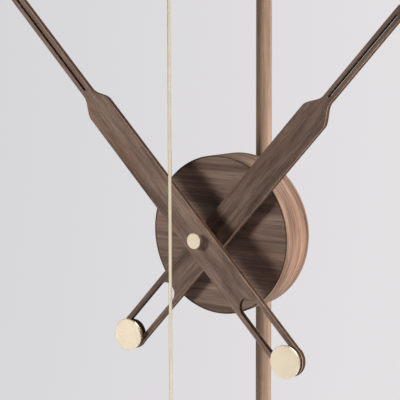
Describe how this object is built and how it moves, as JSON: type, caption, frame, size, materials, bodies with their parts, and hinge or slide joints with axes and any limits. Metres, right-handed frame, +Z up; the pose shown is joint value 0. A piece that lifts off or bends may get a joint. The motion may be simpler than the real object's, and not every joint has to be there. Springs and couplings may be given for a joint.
{
  "type": "pendulum wall clock",
  "caption": "Walnut wall clock: round drum on an upright pole, long counterweighted hands and a brass pendulum hung from a forward arm.",
  "frame": {"origin": "centre of the middle wall plate's back face, in the wall plane and on the hands' axis", "axes": "+Y into the wall, -Y the front, +Z up along the pole, +X to the viewer's right"},
  "size_m": [0.4715, 0.217, 1.0904],
  "materials": {
    "walnut": "oiled, fine straight grain",
    "walnut_light": "oiled, lighter straight grain",
    "satin_brass": "satin",
    "steel": "plain",
    "black_plastic": "matt",
    "nylon": "natural",
    "circuit_board": "solder resist",
    "copper_winding": "enamelled wire",
    "battery_jacket": "plain sleeve"
  },
  "bodies": {
    "clock_frame": {"arm": "walnut_light", "arm_collar": "satin_brass", "back_screw_left": "steel", "back_screw_right": "steel", "back_screw_top": "steel", "battery_contact_left": "steel", "battery_contact_right": "steel", "dial_nut": "satin_brass", "dial_washer": "steel", "drive_board": "circuit_board", "drive_cell": "steel", "drive_coil": "copper_winding", "drum_back": "walnut", "drum_bracket_lower": "satin_brass", "drum_bracket_upper": "satin_brass", "drum_face": "walnut", "drum_rim": "walnut_light", "head_cover": "walnut", "head_shell": "walnut_light", "movement_battery": "battery_jacket", "movement_board": "circuit_board", "movement_bush": "satin_brass", "movement_lid": "black_plastic", "movement_tray": "black_plastic", "pivot_pin": "steel", "pole": "walnut_light", "pole_cap_bottom": "satin_brass", "pole_cap_top": "satin_brass", "stepper_coil": "copper_winding", "wall_bracket_bottom": "satin_brass", "wall_bracket_middle": "satin_brass", "wall_bracket_top": "satin_brass", "wall_plate_bottom": "satin_brass", "wall_plate_middle": "satin_brass", "wall_plate_top": "satin_brass"},
    "minute_set": {"minute_weight_screw": "steel", "minute_hand": "walnut", "minute_weight_boss": "walnut", "minute_weight": "satin_brass", "hand_knob": "satin_brass", "minute_arbor": "steel", "minute_spacer": "satin_brass", "cannon_pinion": "steel"},
    "hour_set": {"hour_weight_screw": "steel", "hour_hand": "walnut", "hour_weight_boss": "walnut", "hour_weight": "satin_brass", "hour_tube": "satin_brass", "hour_collar": "satin_brass", "hour_wheel": "nylon"},
    "setting_set": {"setting_wheel": "nylon", "setting_pinion": "nylon", "setting_arbor": "steel", "setting_knob": "black_plastic"},
    "pendulum": {"pendulum_hanger": "satin_brass", "pendulum_rod": "satin_brass", "pendulum_bob": "satin_brass", "bob_end_cap": "satin_brass", "bob_ferrule": "satin_brass", "drive_magnet": "steel"}
  },
  "joints": [
    {"name": "minute_turn", "type": "hinge", "parent": "clock_frame", "child": "minute_set", "pos_m": [0, -0.1521, 0], "axis": [0, 1, 0], "continuous": true},
    {"name": "hour_turn", "type": "hinge", "parent": "clock_frame", "child": "hour_set", "pos_m": [0, -0.1279, 0], "axis": [0, 1, 0], "continuous": true},
    {"name": "setting_turn", "type": "hinge", "parent": "clock_frame", "child": "setting_set", "pos_m": [0.00849, -0.0926, 0.00849], "axis": [0, 1, 0], "continuous": true},
    {"name": "pendulum_swing", "type": "hinge", "parent": "clock_frame", "child": "pendulum", "pos_m": [0, -0.1954, 0.445], "axis": [0, 1, 0], "range_deg": [-7.5, 7.5]}
  ],
  "couplings": [
    {"joint": "hour_turn", "follows": "minute_turn", "ratio": 0.083333},
    {"joint": "setting_turn", "follows": "minute_turn", "ratio": -0.33333}
  ]
}
